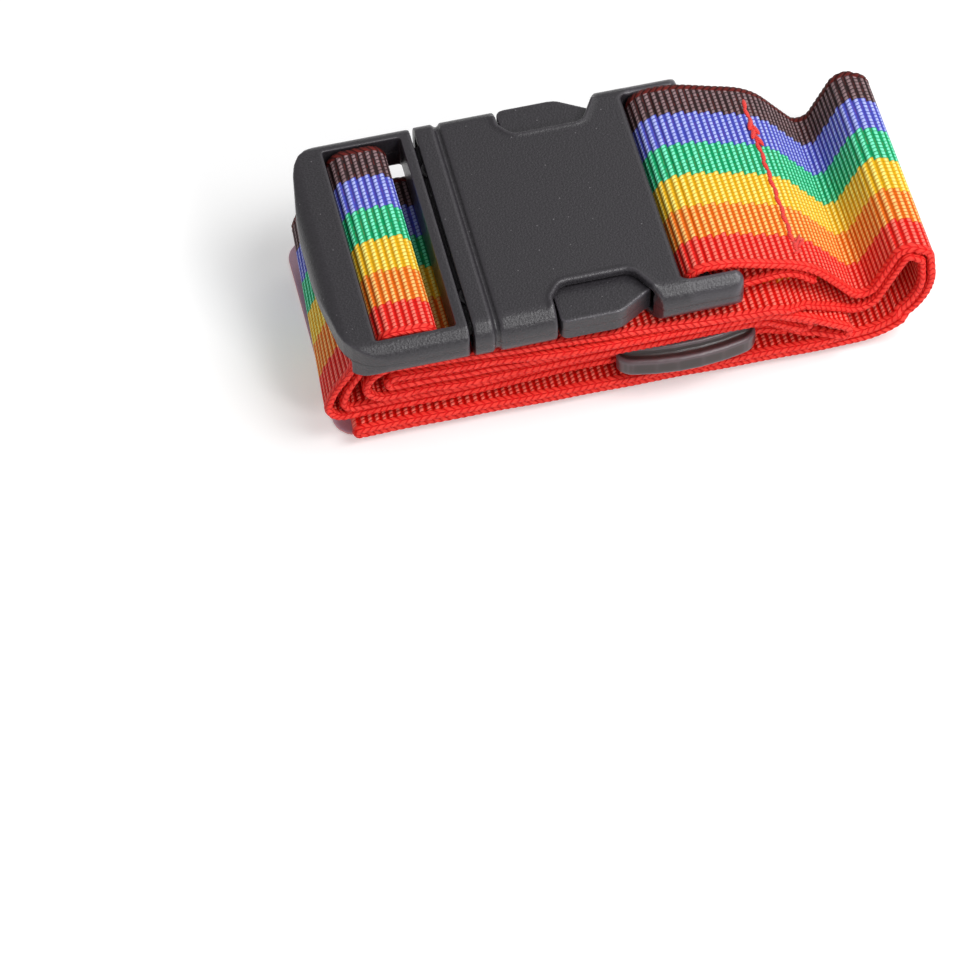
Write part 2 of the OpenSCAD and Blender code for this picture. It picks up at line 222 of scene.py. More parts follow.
stretches = {
    "strap_socket_loop": [seam_end, (33.4, 27.1, 7, 0), (11.1, 24.6, 3.4, 0), (11.1, 33.6, 4.2, 0),
        top_start],
    "strap_top_run": [top_start, slope_top, slope_bend, valley, (57.3, 27.4, 3.4, 0),
        (63.7, 25.6, 4, -0.5), (64.3, 12, 14, -1.5), (53.5, 2.65, 16, -2.5), bottom_right],
    "strap_bottom_run": [bottom_right, bottom_left],
    "strap_bottom_fold": [bottom_left, (-58.5, 2.65, 1, -1.5), (-58.5, 4.75, 1, -2), second_left],
    "strap_second_run": [second_left, second_right],
    "strap_right_inner": [second_right, (52.7, 4.75, 13.9, -2.5), (62.2, 12.95, 11.9, -1.5),
        (61.7, 24.1, 2, -1), (58.4, 25, 1.4, -0.5), (50.4, 7.8, 5.2, -0.5), (36.5, 18.2, 8, -3),
        (29.1, 22.15, 8, -5.5), under_right],
    "strap_under_buckle": [under_right, under_left],
    "strap_left_fold": [under_left, (-56, 22.15, 4.5, -1), (-56, 13, 4.5, -1), middle_left],
    "strap_middle_run": [middle_left, (-34.5, 13, 40, -1.5), (-16.5, 15.85, 40, -3),
        (27.3, 15.85, 4, -3), middle_right],
    "strap_inner_fold": [middle_right, (34.8, 11.118, 2, -3), (37.1, 10.3, 1.4, -3),
        (37.5, 12.8, 1.2, -3), (34.8, 14.5, 3, -3), third_right],
    "strap_third_run": [third_right, (27.9, 17.95, 6, -3), (-12.5, 17.95, 40, -3),
        (-34.5, 16, 40, -1.5), third_left],
    "strap_inner_left_fold": [third_left, (-51.5, 16, 1.4, -1), (-51.5, 19, 1.4, -1.2),
        fourth_left],
    "strap_fourth_run": [fourth_left, (-32.5, 19, 40, -2), (-12.5, 20.05, 40, -4.5),
        (28.5, 20.05, 8, -5), fourth_right],
    "strap_outer_fold": [fourth_right, (36.5, 15.81, 8, -4.5), (46, 8.8, 1.1, -4),
        (45.2, 6.6, 1.1, -4), (37.5, 7.6, 10, -2), adjuster_right],
    "strap_adjuster_run": [adjuster_right, (28.5, 11.35, 8, 0), (-18.5, 11.35, 60, 0),
        (-32.5, 10.1, 60, 0), adjuster_left],
    "strap_plug_loop": [adjuster_left, (-61.4, 10.1, 2.2, 0), (-57.2, 24.4, 1.2, 0),
        (-42.6, 24.4, 2.6, 0), (-42.6, 32.1, 3.3, 0), (-54.1, 32.1, 3.3, 0), (-54.1, 26.5, 2, 0),
        (-58.9, 26.5, 2.6, 0), (-65.4, 8, 3.6, 0), tail_left],
    "strap_tail": [tail_left, (-32.5, 8, 60, 0), (-18.5, 9.25, 60, 0), (28, 9.25, 8, 0),
        (33, 7.17, 0, 0)],
}
print("stretches of webbing:", len(stretches))

# %% Round the corners
ARC_STEP = math.radians(4)


def rounded(route):
    """The path along a route as rows of x, z and y shift, with its corners turned into arcs."""
    rows = [(route[0][0], route[0][1], route[0][3])]
    for before, corner, after in zip(route, route[1:], route[2:]):
        p = Vector(corner[:2])
        u = (Vector(before[:2]) - p).normalized()
        v = (Vector(after[:2]) - p).normalized()
        half = math.acos(max(-1, min(1, u.dot(v)))) / 2
        centre = p + (u + v).normalized() * corner[2] / math.sin(half)
        spoke = p + u * corner[2] / math.tan(half) - centre
        turn = (math.pi - 2 * half) * (1 if v.cross(u) > 0 else -1)
        steps = max(2, math.ceil(abs(turn) / ARC_STEP))
        for k in range(steps + 1):
            q = centre + Matrix.Rotation(turn * k / steps, 2) @ spoke
            rows.append((q.x, q.y, corner[3]))
    rows.append((route[-1][0], route[-1][1], route[-1][3]))
    return np.array(rows)


paths = {name: rounded(route) for name, route in stretches.items()}
lengths = {
    name: float(np.linalg.norm(np.diff(p[:, :2], axis=0), axis=1).sum()) for name, p in paths.items()
}
print("webbing in all:", round(sum(lengths.values())), "mm")

# %% [markdown]
# ## The webbing
# Ribbed webbing has thick weft threads across it, which raise a rib every 1.5 mm, and bright warp
# yarns along it that pass over each rib as a row of beads. Both edges are bound in a herringbone of
# red yarn. A displaced plane would need a very fine mesh, so here the ribs and the edge stitches are
# in the mesh, because they show in the outline, and the beads are in the material. Each stretch
# starts as a grid, one side of it along the strap and the other round its section.

# %% Measures of the weave
WIDTH = 51.0
THICK = 1.7
RIB = 1.5
RIB_DEPTH = 0.36
ROWS_PER_RIB = 6
FACE_COLUMNS = 24
EDGE_COLUMNS = 12
EDGE_ROUND = 0.9  # how far the rounding of the edge reaches in
EDGE_FACE = 0.9  # how far the binding reaches over each face
EDGE_STITCH = 0.22  # height of its strands
EDGE_SLANT = 1.4  # ribs that a strand would run on by, from the edge to the face
EDGE_POINT = 0.45  # where the herringbone turns back, from 0 at the edge to 1 on the face


def section_round_the_strap():
    """Rows of across (mm), height (-1 to 1), outward y, and edge (1 on top, -1 below)."""
    flat = WIDTH / 2 - EDGE_ROUND
    inner = flat - EDGE_FACE
    girth = math.pi / 2 * EDGE_ROUND + EDGE_FACE
    rows = [(y, -1.0, 0.0, -1.0) for y in np.linspace(0, inner, FACE_COLUMNS // 2 + 1)]
    for side in (1, -1):
        top = -1.0 if side == 1 else 1.0
        for share in (0.35, 0.7):
            y, turn = side * (inner + EDGE_FACE * share), 1 - EDGE_FACE * share / girth
            rows.append((y, top, 0.0, top * turn))
        for k in range(EDGE_COLUMNS + 1):
            angle = math.pi / 2 * top * (1 - 2 * k / EDGE_COLUMNS)
            turn = (abs(angle) * EDGE_ROUND) / girth * (1 if angle > 0 else -1)
            out = math.cos(angle)
            rows.append((side * (flat + EDGE_ROUND * out), math.sin(angle), side * out, turn))
        for share in (0.7, 0.35):
            y, turn = side * (inner + EDGE_FACE * share), 1 - EDGE_FACE * share / girth
            rows.append((y, -top, 0.0, -top * turn))
        last = -inner if side == 1 else 0
        columns = FACE_COLUMNS if side == 1 else FACE_COLUMNS // 2
        rows += [(y, -top, 0.0, -top) for y in np.linspace(side * inner, last, columns + 1)]
    return np.array(rows)


section = section_round_the_strap()
print("points round the section:", len(section))

# %% [markdown]
# The beads over a rib are 0.95 mm apart, and those of the next rib lie between them. The material
# works from three values that the mesh carries: how far across the strap a point is, how many ribs
# along it, and how far round its edge. A noise lets the yarns drift a little, as in real weaving. A
# stripe changes colour only between two beads, which gives the fine teeth of a woven stripe, and the
# red weft glints through in the furrows.

# %% Beads of the webbing
# Woven polyester: shiny bundles of filament over ribs. The bead tops carry a painted highlight,
# and the furrows are painted in shade; the bump gives the beads real relief.
web_material, tree, shader = new_material("polyester webbing, woven in six stripes")
BEAD = 0.95
BEAD_LEAN = -0.6  # beads that a yarn moves sideways over one rib
BEAD_HEIGHT = 0.22
STAGGER = 0.5  # beads that each rib's row is shifted by
SLACK = 4.0  # mm over which the yarns drift
BEAD_SLACK = 0.7  # beads that they drift by
place = add(tree, "ShaderNodeTexCoord").outputs["Object"]
loose = add(tree, "ShaderNodeTexNoise", {"Vector": place, "Scale": 1 / (SLACK * MM), "Detail": 1.0})
across = add(tree, "ShaderNodeAttribute", attribute_name="across").outputs["Fac"]
ribs = add(tree, "ShaderNodeAttribute", attribute_name="ribs").outputs["Fac"]
edge = add(tree, "ShaderNodeAttribute", attribute_name="edge").outputs["Fac"]
row = add(tree, "ShaderNodeMath", {0: ribs}, operation="FLOOR")
in_rib = add(tree, "ShaderNodeMath", {0: ribs}, operation="FRACT")
crest = add(tree, "ShaderNodeMath", {
    0: add(tree, "ShaderNodeMath", {0: in_rib, 1: math.pi}, operation="MULTIPLY"),
}, operation="SINE")
twist = add(tree, "ShaderNodeMath", {0: edge, 1: BEAD_LEAN}, operation="MULTIPLY")
lean = add(tree, "ShaderNodeMath", {0: in_rib, 1: twist}, operation="MULTIPLY")
row_shift = add(tree, "ShaderNodeMath", {0: row, 1: STAGGER}, operation="MULTIPLY")
drift = add(tree, "ShaderNodeMath", {
    0: loose.outputs["Fac"], 1: BEAD_SLACK, 2: lean,
}, operation="MULTIPLY_ADD")
stagger = add(tree, "ShaderNodeMath", {0: row_shift, 1: drift}, operation="ADD")
bead_place = add(tree, "ShaderNodeMath", {
    0: across, 1: 1 / BEAD, 2: stagger,
}, operation="MULTIPLY_ADD")
bead_count = add(tree, "ShaderNodeMath", {0: bead_place}, operation="FLOOR")
in_bead = add(tree, "ShaderNodeMath", {0: bead_place}, operation="FRACT")
bead = add(tree, "ShaderNodeMath", {
    0: add(tree, "ShaderNodeMath", {0: in_bead, 1: math.pi}, operation="MULTIPLY"),
}, operation="SINE")
swell = add(tree, "ShaderNodeMath", {0: crest, 1: bead}, operation="MULTIPLY")
# Off the swell of the beads, in the furrows and between beads, the yarn is darkened as painted shade.
grain = add(tree, "ShaderNodeMapRange", {
    "Value": swell, "From Min": 0.05, "From Max": 0.45, "To Min": 0.72,
}, interpolation_type="SMOOTHSTEP")
crown = add(tree, "ShaderNodeMapRange", {
    "Value": crest, "From Min": 0.55, "From Max": 0.95,
}, interpolation_type="SMOOTHSTEP")
belly = add(tree, "ShaderNodeMapRange", {
    "Value": bead, "From Min": 0.1, "From Max": 0.6,
}, interpolation_type="SMOOTHSTEP")
raised = add(tree, "ShaderNodeMath", {0: crown, 1: belly}, operation="MULTIPLY")
bead_cell = add(tree, "ShaderNodeCombineXYZ", {"X": bead_count, "Y": row})
chance = add(tree, "ShaderNodeTexWhiteNoise", {"Vector": bead_cell}, noise_dimensions="2D")
print("bead nodes:", len(tree.nodes))

# %% Stripes of the webbing
bead_start = add(tree, "ShaderNodeMath", {0: bead_count, 1: row_shift}, operation="SUBTRACT")
mean_drift = 0.5 - BEAD_SLACK / 2
bead_middle = add(tree, "ShaderNodeMath", {
    0: twist, 1: -0.5,
    2: add(tree, "ShaderNodeMath", {0: bead_start, 1: mean_drift}, operation="ADD"),
}, operation="MULTIPLY_ADD")
stripe = add(tree, "ShaderNodeMapRange", {
    "Value": bead_middle, "From Min": -WIDTH / 2 / BEAD, "From Max": WIDTH / 2 / BEAD,
})
# The yarn colours are the stripes' own; the glint colours are painted highlights for the bead tops.
stripe_shades = {
    "yarn": ("#ec140b", "#f4700a", "#f6ba12", "#0aa666", "#4c53c4", "#352425"),
    "glint": ("#ff8070", "#ffd080", "#fff488", "#86ffd2", "#bac4ff", "#957a7d"),
}
shades = {}
for layer, codes in stripe_shades.items():
    ramp = add(tree, "ShaderNodeValToRGB", {"Fac": stripe})
    ramp.color_ramp.interpolation = "CONSTANT"
    while len(ramp.color_ramp.elements) < len(codes):
        ramp.color_ramp.elements.new(1)
    for k, code in enumerate(codes):
        ramp.color_ramp.elements[k].position = k / len(codes)
        ramp.color_ramp.elements[k].color = linear(code)
    shades[layer] = ramp.outputs["Color"]
# Bead tops are painted in the glint colours as a painted highlight, a little unevenly from bead to
# bead.
uneven = add(tree, "ShaderNodeMath", {0: chance, 1: 0.25, 2: 0.8}, operation="MULTIPLY_ADD")
painted_bead_highlight = add(tree, "ShaderNodeMath", {0: raised, 1: uneven}, operation="MULTIPLY")
yarn_in_painted_shade = add(tree, "ShaderNodeVectorMath", {0: shades["yarn"], 3: grain}, operation="SCALE")
woven = add(tree, "ShaderNodeMix", {0: painted_bead_highlight, 6: yarn_in_painted_shade, 7: shades["glint"]}, data_type="RGBA")
low = add(tree, "ShaderNodeMapRange", {
    "Value": crest, "From Min": 0.35, "From Max": 0.1, "To Max": 0.2,
})
some = add(tree, "ShaderNodeMath", {0: chance, 1: 0.6}, operation="GREATER_THAN")
glint = add(tree, "ShaderNodeMath", {0: low, 1: some}, operation="MULTIPLY")
flecked = add(tree, "ShaderNodeMix", {
    0: glint, 6: woven.outputs[2], 7: linear("#a8302a"),
}, data_type="RGBA")
print("webbing stripes:", len(codes))

# %% Herringbone edge of the webbing
EDGE_SLACK = 0.8  # ribs that the strands drift by
turned = add(tree, "ShaderNodeMath", {0: edge}, operation="ABSOLUTE")
off_point = add(tree, "ShaderNodeMath", {
    0: add(tree, "ShaderNodeMath", {0: turned, 1: EDGE_POINT}, operation="SUBTRACT"),
}, operation="ABSOLUTE")
along = add(tree, "ShaderNodeMath", {
    0: loose.outputs["Fac"], 1: EDGE_SLACK, 2: ribs,
}, operation="MULTIPLY_ADD")
chevron = add(tree, "ShaderNodeMath", {
    0: off_point, 1: EDGE_SLANT, 2: along,
}, operation="MULTIPLY_ADD")
strand = add(tree, "ShaderNodeMath", {0: chevron}, operation="FRACT")
strand_count = add(tree, "ShaderNodeMath", {0: chevron}, operation="FLOOR")
strand_chance = add(tree, "ShaderNodeTexWhiteNoise", {"W": strand_count}, noise_dimensions="1D")
ridge = add(tree, "ShaderNodeMath", {
    0: add(tree, "ShaderNodeMath", {0: strand, 1: math.pi}, operation="MULTIPLY"),
}, operation="SINE")
plump = add(tree, "ShaderNodeMapRange", {"Value": ridge, "From Min": 0.05, "From Max": 0.8})
parted = add(tree, "ShaderNodeMapRange", {"Value": off_point, "From Min": 0.0, "From Max": 0.08})
strand_top = add(tree, "ShaderNodeMath", {0: plump, 1: parted}, operation="MULTIPLY")
strand_shade = add(tree, "ShaderNodeMapRange", {"Value": strand_chance, "To Min": 0.7, "To Max": 1.0})
# Strand tops are painted a lighter red as a painted highlight, and the grooves a deeper red as painted
# shade.
strand_painted_highlight = add(tree, "ShaderNodeMath", {0: strand_top, 1: strand_shade}, operation="MULTIPLY")
bound = add(tree, "ShaderNodeMapRange", {"Value": turned, "From Min": 0.985, "From Max": 0.94})
bright = add(tree, "ShaderNodeMix", {
    0: strand_painted_highlight, 6: linear("#d60409"), 7: linear("#ff473c"),
}, data_type="RGBA")
# The back edge's red binding is painted nearly black, as painted shade.
back_binding_in_painted_shade = add(tree, "ShaderNodeMix", {
    0: strand_painted_highlight, 6: linear("#2a0f0f"), 7: linear("#6e221d"),
}, data_type="RGBA")
at_back = add(tree, "ShaderNodeMath", {0: across, 1: 0.0}, operation="GREATER_THAN")
binding = add(tree, "ShaderNodeMix", {
    0: at_back, 6: bright.outputs[2], 7: back_binding_in_painted_shade.outputs[2],
}, data_type="RGBA")
surface = add(tree, "ShaderNodeMix", {
    0: bound, 6: flecked.outputs[2], 7: binding.outputs[2],
}, data_type="RGBA")
height = add(tree, "ShaderNodeMix", {0: bound, 2: swell, 3: strand_top})
relief = add(tree, "ShaderNodeBump", {"Height": height, "Distance": BEAD_HEIGHT * MM, "Strength": 0.8})
tree.links.new(surface.outputs[2], shader.inputs["Base Color"])
tree.links.new(relief.outputs["Normal"], shader.inputs["Normal"])
shader.inputs["Roughness"].default_value = 0.5
shader.inputs["Specular IOR Level"].default_value = 0.15
print("webbing nodes:", len(tree.nodes))

# %% Points of one stretch
LOOK = 0.3  # mm to either side, for the direction at a point
SWAY = ((0.12, 3.1), (0.1, 7.3))  # how far the edges wander, and over what length
RIB_ROUND = 0.8
STITCH_ROUND = 0.7
STITCH_SINK = 0.7
EDGE_GROOVE = 0.08
LEAN = 0.07  # how far the left folds lean, in mm along X for each mm across
LEAN_START, LEAN_REACH = -30, 22  # it sets in left of this x, over so many mm
LEAN_TOP, LEAN_DEPTH = 24, 9  # and below this z


def ease(t):
    """Smooth steps from 0 to 1."""
    t = np.clip(t, 0, 1)
    return t * t * (3 - 2 * t)


def woven_points(path, start):
    """Points of a stretch in mm, in rows round its section, and the count of ribs at each row."""
    steps = np.linalg.norm(np.diff(path[:, :2], axis=0), axis=1)
    path = path[np.concatenate([[True], steps > 1e-6])]
    along = np.concatenate([[0], np.cumsum(np.linalg.norm(np.diff(path[:, :2], axis=0), axis=1))])
    rib_count = round(along[-1] / RIB)
    at = np.linspace(0, along[-1], rib_count * ROWS_PER_RIB + 1)
    x, z, shift = (np.interp(at, along, path[:, k])[:, None] for k in range(3))
    ahead, behind = np.minimum(at + LOOK, along[-1]), np.maximum(at - LOOK, 0)
    dx = np.interp(ahead, along, path[:, 0]) - np.interp(behind, along, path[:, 0])
    dz = np.interp(ahead, along, path[:, 1]) - np.interp(behind, along, path[:, 1])
    size = np.hypot(dx, dz)
    dx, dz = (dx / size)[:, None], (dz / size)[:, None]
    rib = (at / along[-1] * rib_count)[:, None]
    sway = sum(most * np.sin((start + at) / pitch) for most, pitch in SWAY)
    y, tall, out, turn = section.T
    face = -RIB_DEPTH * (1 - np.abs(np.sin(np.pi * rib)) ** RIB_ROUND)
    off_point = np.abs(np.abs(turn) - EDGE_POINT)
    stitch = np.abs(np.sin(np.pi * (rib + EDGE_SLANT * off_point))) ** STITCH_ROUND
    at_point, at_edge = (np.exp(-(off / EDGE_GROOVE) ** 2) for off in (off_point, turn))
    groove = 1 - 0.5 * at_point - 0.5 * at_edge
    proud = np.where(np.abs(turn) < 0.99, EDGE_STITCH * (stitch * groove - STITCH_SINK), face)
    lift = (THICK / 2 + proud) * tall
    place = np.stack([
        x - dz * lift,
        shift + y * (1 + sway[:, None] / WIDTH) + proud * out,
        z + dx * lift,
    ], axis=2)
    leftward = ease((LEAN_START - place[..., 0]) / LEAN_REACH)
    downward = ease((LEAN_TOP - place[..., 2]) / LEAN_DEPTH)
    place[..., 0] += LEAN * place[..., 1] * (leftward * downward)
    return place, rib


print("points of the tail:", woven_points(paths["strap_tail"], 0)[0].shape)

# %% Weave the stretches
def weave(name, start):
    """A stretch of ribbed webbing along its path; start is its place along the whole strap, in mm."""
    place, rib = woven_points(paths[name], start)
    place *= MM
    rows, last = len(place) - 1, len(section) - 1
    y, turn = section[:, 0], section[:, 3]
    bm = bmesh.new()
    carried = {key: bm.verts.layers.float.new(key) for key in ("across", "ribs", "edge")}
    bmesh.ops.create_grid(bm, x_segments=last, y_segments=rows, size=1)
    seam = []
    for v in bm.verts:
        i, j = round((v.co.x + 1) / 2 * last), round((v.co.y + 1) / 2 * rows)
        v.co = place[j, i]
        v[carried["across"]], v[carried["ribs"]], v[carried["edge"]] = y[i], rib[j, 0], turn[i]
        if i in (0, last):
            seam.append(v)
    bmesh.ops.remove_doubles(bm, verts=seam, dist=1e-7)
    ends = [e for e in bm.edges if e.is_boundary]
    bmesh.ops.holes_fill(bm, edges=ends, sides=0)
    for face in bm.faces:
        face.smooth = True
    for e in ends:
        e.smooth = False
    bmesh.ops.recalc_face_normals(bm, faces=bm.faces)
    mesh = bpy.data.meshes.new(name)
    bm.to_mesh(mesh)
    bm.free()
    mesh.materials.append(web_material)
    piece = bpy.data.objects.new("webbing" + name[len("strap"):], mesh)
    bpy.context.scene.collection.objects.link(piece)
    return piece


start = 0
for name, length in lengths.items():
    piece = weave(name, start)
    start += length
    if name in ("strap_adjuster_run", "strap_tail"):
        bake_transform(piece)
    else:
        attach(piece, "plug" if name == "strap_plug_loop" else "bundle")
    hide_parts(name)
    print(piece.name, len(piece.data.polygons), "faces")

# %% [markdown]
# ## The buckle
# A side-release buckle comes from a mould in two halves that meet at mid-height, so its edges are
# rounded, its sides carry a fine parting line, and its faces have the matt grain of an etched mould.
# The shapes could be modelled again, but the CAD solids are right, so each is copied, remeshed in
# small cells and smoothed, which rounds every edge as a mould does. How far the smoothing moves a
# point inwards tells where an edge is. There the plastic is a little glossier, as handling polishes
# it, and it is painted lighter as a highlight.

# %% Buckle plastic
# Acetal from an etched mould: charcoal, matt, with a fine grain that breaks up the highlights. The
# real grain is too fine to show, so it is drawn coarser here. A few specks of dust lie on it.
PARTING = 28.3  # height of the parting line
GRAIN = 0.45
GRAIN_DEPTH = 0.13
SPECK = 2.6  # mm from one speck to the next
buckle_plastic, tree, shader = new_material("acetal, moulded with a matt grain")
place = add(tree, "ShaderNodeTexCoord").outputs["Object"]
wear_and_highlight = add(tree, "ShaderNodeAttribute", attribute_name="wear_and_highlight").outputs["Fac"]
grain = add(tree, "ShaderNodeTexNoise", {"Vector": place, "Scale": 1 / (GRAIN * MM), "Detail": 3.0})
specks = add(tree, "ShaderNodeTexVoronoi", {"Vector": place, "Scale": 1 / (SPECK * MM)})
dust = add(tree, "ShaderNodeMapRange", {
    "Value": specks.outputs["Distance"], "From Min": 0.07, "From Max": 0.03, "To Max": 0.35,
})
up = add(tree, "ShaderNodeSeparateXYZ", {0: place}).outputs["Z"]
off_parting = add(tree, "ShaderNodeMath", {
    0: add(tree, "ShaderNodeMath", {0: up, 1: PARTING * MM}, operation="SUBTRACT"),
}, operation="ABSOLUTE")
parting = add(tree, "ShaderNodeMapRange", {
    "Value": off_parting, "From Min": 0.14 * MM, "From Max": 0.05 * MM,
})
body = add(tree, "ShaderNodeMix", {
    0: grain.outputs["Fac"], 6: linear("#151316"), 7: linear("#39363b"),
}, data_type="RGBA")
# Along rounded edges the plastic is painted lighter as a painted highlight; there it is also a little
# glossier.
polished_with_painted_highlight = add(tree, "ShaderNodeMix", {
    0: wear_and_highlight, 6: body.outputs[2], 7: linear("#4c484e"),
}, data_type="RGBA")
lined = add(tree, "ShaderNodeMix", {
    0: parting, 6: polished_with_painted_highlight.outputs[2], 7: linear("#1c1a1d"),
}, data_type="RGBA")
dusty = add(tree, "ShaderNodeMix", {
    0: dust, 6: lined.outputs[2], 7: linear("#a9a5a8"),
}, data_type="RGBA")
rough = add(tree, "ShaderNodeMapRange", {"Value": wear_and_highlight, "To Min": 0.36, "To Max": 0.28})
relief = add(tree, "ShaderNodeMath", {
    0: parting, 1: -1.2, 2: grain.outputs["Fac"],
}, operation="MULTIPLY_ADD")
bump = add(tree, "ShaderNodeBump", {"Height": relief, "Distance": GRAIN_DEPTH * MM, "Strength": 0.7})
tree.links.new(dusty.outputs[2], shader.inputs["Base Color"])
tree.links.new(rough.outputs[0], shader.inputs["Roughness"])
tree.links.new(bump.outputs["Normal"], shader.inputs["Normal"])
shader.inputs["IOR"].default_value = 1.52
print("buckle nodes:", len(tree.nodes))

# %% Slider plastic
# Nylon from a polished mould: nearly black, with a soft gloss and faint flow marks. Its red-brown
# tint is a painted reflection of the red webbing round it.
FLOW_MARK = 5.0
SATIN_GRAIN = 0.25
slider_plastic, tree, shader = new_material("nylon, moulded with a satin gloss")
place = add(tree, "ShaderNodeTexCoord").outputs["Object"]
wear_and_highlight = add(tree, "ShaderNodeAttribute", attribute_name="wear_and_highlight").outputs["Fac"]
flow = add(tree, "ShaderNodeTexNoise", {
    "Vector": place, "Scale": 1 / (FLOW_MARK * MM), "Detail": 3.0, "Distortion": 0.8,
})
grain = add(tree, "ShaderNodeTexNoise", {
    "Vector": place, "Scale": 1 / (SATIN_GRAIN * MM), "Detail": 2.0,
})
# The red-brown in the body colour is a painted reflection of the red webbing; the nylon itself is
# nearly black.
body = add(tree, "ShaderNodeMix", {
    0: flow.outputs["Fac"], 6: linear("#241a19"), 7: linear("#302423"),
}, data_type="RGBA")
# Rounded edges are painted lighter, as a painted highlight.
polished_with_painted_highlight = add(tree, "ShaderNodeMix", {
    0: wear_and_highlight, 6: body.outputs[2], 7: linear("#5a4c50"),
}, data_type="RGBA")
rough = add(tree, "ShaderNodeMapRange", {
    "Value": flow.outputs["Fac"], "To Min": 0.26, "To Max": 0.38,
})
bump = add(tree, "ShaderNodeBump", {
    "Height": grain.outputs["Fac"], "Distance": 0.02 * MM, "Strength": 0.6,
})
tree.links.new(polished_with_painted_highlight.outputs[2], shader.inputs["Base Color"])
tree.links.new(rough.outputs[0], shader.inputs["Roughness"])
tree.links.new(bump.outputs["Normal"], shader.inputs["Normal"])
shader.inputs["IOR"].default_value = 1.53
print("slider nodes:", len(tree.nodes))

# %% Round the moulded edges
SOFT_PASSES = 24
WELD = 2e-6
# The mask of rounded edges, made below, lowers the roughness there and paints a lighter highlight.
WEAR_AND_HIGHLIGHT_DEPTH = 0.3  # cells that smoothing moves a fully worn edge inwards


def baked(piece):
    """The mesh that a piece's modifiers make of it."""
    return bpy.data.meshes.new_from_object(piece.evaluated_get(bpy.context.evaluated_depsgraph_get()))


def moulded(node, name, material, cell, passes, extra=(), soft_from=None):
    """A copy of a CAD node with its edges rounded, more so from soft_from on along X; in mm."""
    bm = bmesh.new()
    bm.from_mesh(bpy.data.objects[node].data)
    bmesh.ops.remove_doubles(bm, verts=bm.verts, dist=WELD)
    for mesh in extra:
        bm.from_mesh(mesh)
    mesh = bpy.data.meshes.new(name)
    bm.to_mesh(mesh)
    bm.free()
    piece = bpy.data.objects.new(name, mesh)
    bpy.context.scene.collection.objects.link(piece)
    cells = piece.modifiers.new("cells", "REMESH")
    cells.mode = "VOXEL"
    cells.voxel_size = cell * MM
    cells.use_smooth_shade = True
    before = baked(piece)
    piece.modifiers.clear()
    piece.data = before
    soft = piece.vertex_groups.new(name="soft")
    if soft_from is not None:
        soft.add([v.index for v in before.vertices if v.co.x > soft_from * MM], 1, "REPLACE")
    for group, iterations in (("", passes), ("soft", SOFT_PASSES if soft_from is not None else 0)):
        rounding = piece.modifiers.new("rounding", "SMOOTH")
        rounding.vertex_group = group
        rounding.factor = 0.5
        rounding.iterations = iterations
    after = baked(piece)
    piece.modifiers.clear()
    count = len(after.vertices) * 3
    old, new, normals = np.empty(count), np.empty(count), np.empty(count)
    before.vertices.foreach_get("co", old)
    after.vertices.foreach_get("co", new)
    after.vertices.foreach_get("normal", normals)
    # How far smoothing moved each point inwards marks the edges for polish and a painted highlight.
    inward = ((old - new) * normals).reshape(-1, 3).sum(axis=1)
    after.attributes.new("wear_and_highlight", "FLOAT", "POINT").data.foreach_set(
        "value", np.clip(inward / (WEAR_AND_HIGHLIGHT_DEPTH * cell * MM), 0, 1).astype(np.float32))
    after.materials.clear()
    after.materials.append(material)
    piece.data = after
    after.name = name
    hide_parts(node)
    print(name, len(after.polygons), "faces")
    return piece


print("extra passes on a soft end:", SOFT_PASSES)

# %% Lip round the socket's side windows
# A thin raised lip, drawn as a curve with a round section and remeshed in one with the socket.
LIP_RADIUS = 0.5
LIP_HEIGHT = 33.2
lip_route = [
    (-18.1, 26.5, 0, 0), (-18.1, 23.8, 2.2, 0), (-15.3, 20.2, 3, 0),
    (0.35, 20.2, 3.5, 0), (3.9, 26.5, 0, 0),
]
lip_meshes = []
for side in (1, -1):
    line = bpy.data.curves.new("window_lip", "CURVE")
    line.dimensions = "3D"
    line.bevel_depth = LIP_RADIUS * MM
    line.bevel_resolution = 2
    line.use_fill_caps = True
    points = rounded(lip_route)
    spline = line.splines.new("POLY")
    spline.points.add(len(points) - 1)
    for point, (x, y, _) in zip(spline.points, points):
        point.co = (x * MM, side * y * MM, LIP_HEIGHT * MM, 1)
    lip = bpy.data.objects.new("window_lip", line)
    bpy.context.scene.collection.objects.link(lip)
    lip_meshes.append(baked(lip))
    bpy.data.objects.remove(lip)
print("window lips:", len(lip_meshes))

# %% Buckle and slider
for node, name, body, cell, passes, extra, soft_from in (
    ("socket", "buckle_socket", "bundle", 0.38, 3, lip_meshes, 10.5),
    ("plug_frame", "buckle_plug", "plug", 0.3, 5, (), None),
    ("front_latch", "buckle_latch_front", "front_latch", 0.25, 8, (), None),
    ("rear_latch", "buckle_latch_rear", "rear_latch", 0.25, 8, (), None),
):
    piece = moulded(node, name, buckle_plastic, cell, passes, extra, soft_from)
    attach(piece, body)
piece = moulded("slider", "strap_slider", slider_plastic, 0.25, 48)
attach(piece, "slider")

# %% [markdown]
# ## The address tag
# The tag is a sheet of grained red vinyl with a window, a clear film behind the window and a card
# that slides in from its open end. Its face lies on the table, and its paler back and cut edge look
# out from under the strap. The CAD outline is copied and its edges softened, and the material tells
# face, back and cut edge apart by the direction of the surface. The film is a thin grid with slight
# waves, and the card is flat, so the CAD solid only needs a material.

